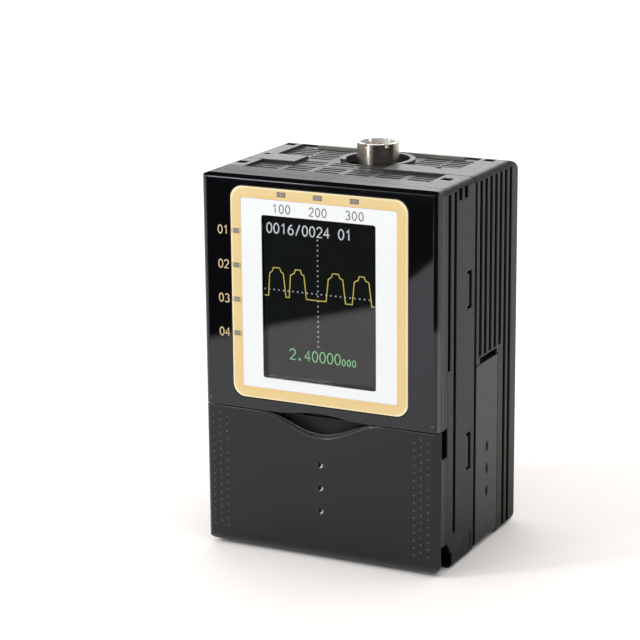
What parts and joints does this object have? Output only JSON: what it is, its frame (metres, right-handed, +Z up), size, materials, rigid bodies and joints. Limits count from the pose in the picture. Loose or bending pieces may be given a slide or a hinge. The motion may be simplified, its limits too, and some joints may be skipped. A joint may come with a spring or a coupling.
{
  "type": "vision sensor controller with display",
  "caption": "Rail-mount sensor controller: colour display in a gold ring, hinged flap over the keys, vented case, round connector on top.",
  "frame": {"origin": "middle of the base: centre of the footprint, rail hooks included, on the bottom face", "axes": "+Z up, -Y the display side, +X to the right of someone facing the display"},
  "size_m": [0.06, 0.0502, 0.094],
  "materials": {
    "gloss_black": "gloss",
    "satin_black": "fine satin texture",
    "gold_film": "satin",
    "white_film": "satin",
    "display_lens": "clear, gloss",
    "light_guide": "clear grey",
    "key_grey": "satin",
    "bright_steel": "brushed",
    "nickel": "satin nickel plating",
    "contact_gold": "bright",
    "spacer_brass": "bright",
    "board_green": "solder mask",
    "heat_sink": "anodised",
    "white_plastic": "satin",
    "connector_plastic": "satin",
    "cream_plastic": "satin",
    "capacitor_sleeve": "gloss",
    "display_cell": "gloss"
  },
  "bodies": {
    "case": {"front_bezel": "gloss_black", "trim_ring": "gold_film", "display_field": "white_film", "display_window": "display_lens", "status_light_guide": "light_guide", "channel_light_guide": "light_guide", "front_frame": "satin_black", "key_deck": "satin_black", "flap_hinge_pin": "bright_steel", "mode_switch": "bright_steel", "key_switches": "bright_steel", "key_board": "board_green", "usb_socket": "bright_steel", "lcd_panel": "display_cell", "lcd_frame": "bright_steel", "backlight": "white_plastic", "display_board": "board_green", "main_board": "board_green", "heat_sink": "heat_sink", "power_board": "board_green", "capacitors": "capacitor_sleeve", "board_spacers": "spacer_brass", "board_links": "white_plastic", "bus_connector_right": "cream_plastic", "bus_connector_left": "cream_plastic", "io_connector": "connector_plastic", "front_case": "satin_black", "rear_case": "satin_black", "connector_shell": "nickel", "connector_insert": "connector_plastic", "connector_contacts": "contact_gold", "connector_nut": "nickel", "latch_spring": "bright_steel", "case_screws": "bright_steel"},
    "flap": {"key_flap": "gloss_black"},
    "up_key": {"key_up": "key_grey"},
    "down_key": {"key_down": "key_grey"},
    "left_key": {"key_left": "key_grey"},
    "right_key": {"key_right": "key_grey"},
    "enter_key": {"key_enter": "key_grey"},
    "back_key": {"key_back": "key_grey"},
    "menu_key": {"key_menu": "key_grey"},
    "mode_slider": {"mode_knob": "key_grey"},
    "cover_right": {"bus_cover_right": "satin_black"},
    "cover_left": {"bus_cover_left": "satin_black"},
    "latch": {"rail_latch": "key_grey"}
  },
  "joints": [
    {"name": "flap_hinge", "type": "hinge", "parent": "case", "child": "flap", "pos_m": [0, -0.02195, 0.0035], "axis": [1, 0, 0], "range_deg": [0, 90]},
    {"name": "up_press", "type": "slide", "parent": "case", "child": "up_key", "axis": [0, 1, 0], "range_m": [0, 0.0004], "stiffness_N_per_m": 250, "springref_m": -0.0004},
    {"name": "down_press", "type": "slide", "parent": "case", "child": "down_key", "axis": [0, 1, 0], "range_m": [0, 0.0004], "stiffness_N_per_m": 250, "springref_m": -0.0004},
    {"name": "left_press", "type": "slide", "parent": "case", "child": "left_key", "axis": [0, 1, 0], "range_m": [0, 0.0004], "stiffness_N_per_m": 250, "springref_m": -0.0004},
    {"name": "right_press", "type": "slide", "parent": "case", "child": "right_key", "axis": [0, 1, 0], "range_m": [0, 0.0004], "stiffness_N_per_m": 250, "springref_m": -0.0004},
    {"name": "enter_press", "type": "slide", "parent": "case", "child": "enter_key", "axis": [0, 1, 0], "range_m": [0, 0.0004], "stiffness_N_per_m": 250, "springref_m": -0.0004},
    {"name": "back_press", "type": "slide", "parent": "case", "child": "back_key", "axis": [0, 1, 0], "range_m": [0, 0.0004], "stiffness_N_per_m": 250, "springref_m": -0.0004},
    {"name": "menu_press", "type": "slide", "parent": "case", "child": "menu_key", "axis": [0, 1, 0], "range_m": [0, 0.0004], "stiffness_N_per_m": 250, "springref_m": -0.0004},
    {"name": "mode_slide", "type": "slide", "parent": "case", "child": "mode_slider", "axis": [1, 0, 0], "range_m": [0, 0.004]},
    {"name": "cover_right_hinge", "type": "hinge", "parent": "case", "child": "cover_right", "pos_m": [0.0282, 0.00275, 0.0021], "axis": [0, 1, 0], "range_deg": [0, 90]},
    {"name": "cover_left_hinge", "type": "hinge", "parent": "case", "child": "cover_left", "pos_m": [-0.0282, 0.00275, 0.0021], "axis": [0, -1, 0], "range_deg": [0, 90]},
    {"name": "latch_slide", "type": "slide", "parent": "case", "child": "latch", "axis": [0, 0, -1], "range_m": [0, 0.0035], "stiffness_N_per_m": 300, "springref_m": -0.002, "deforming": ["latch_spring"]}
  ]
}
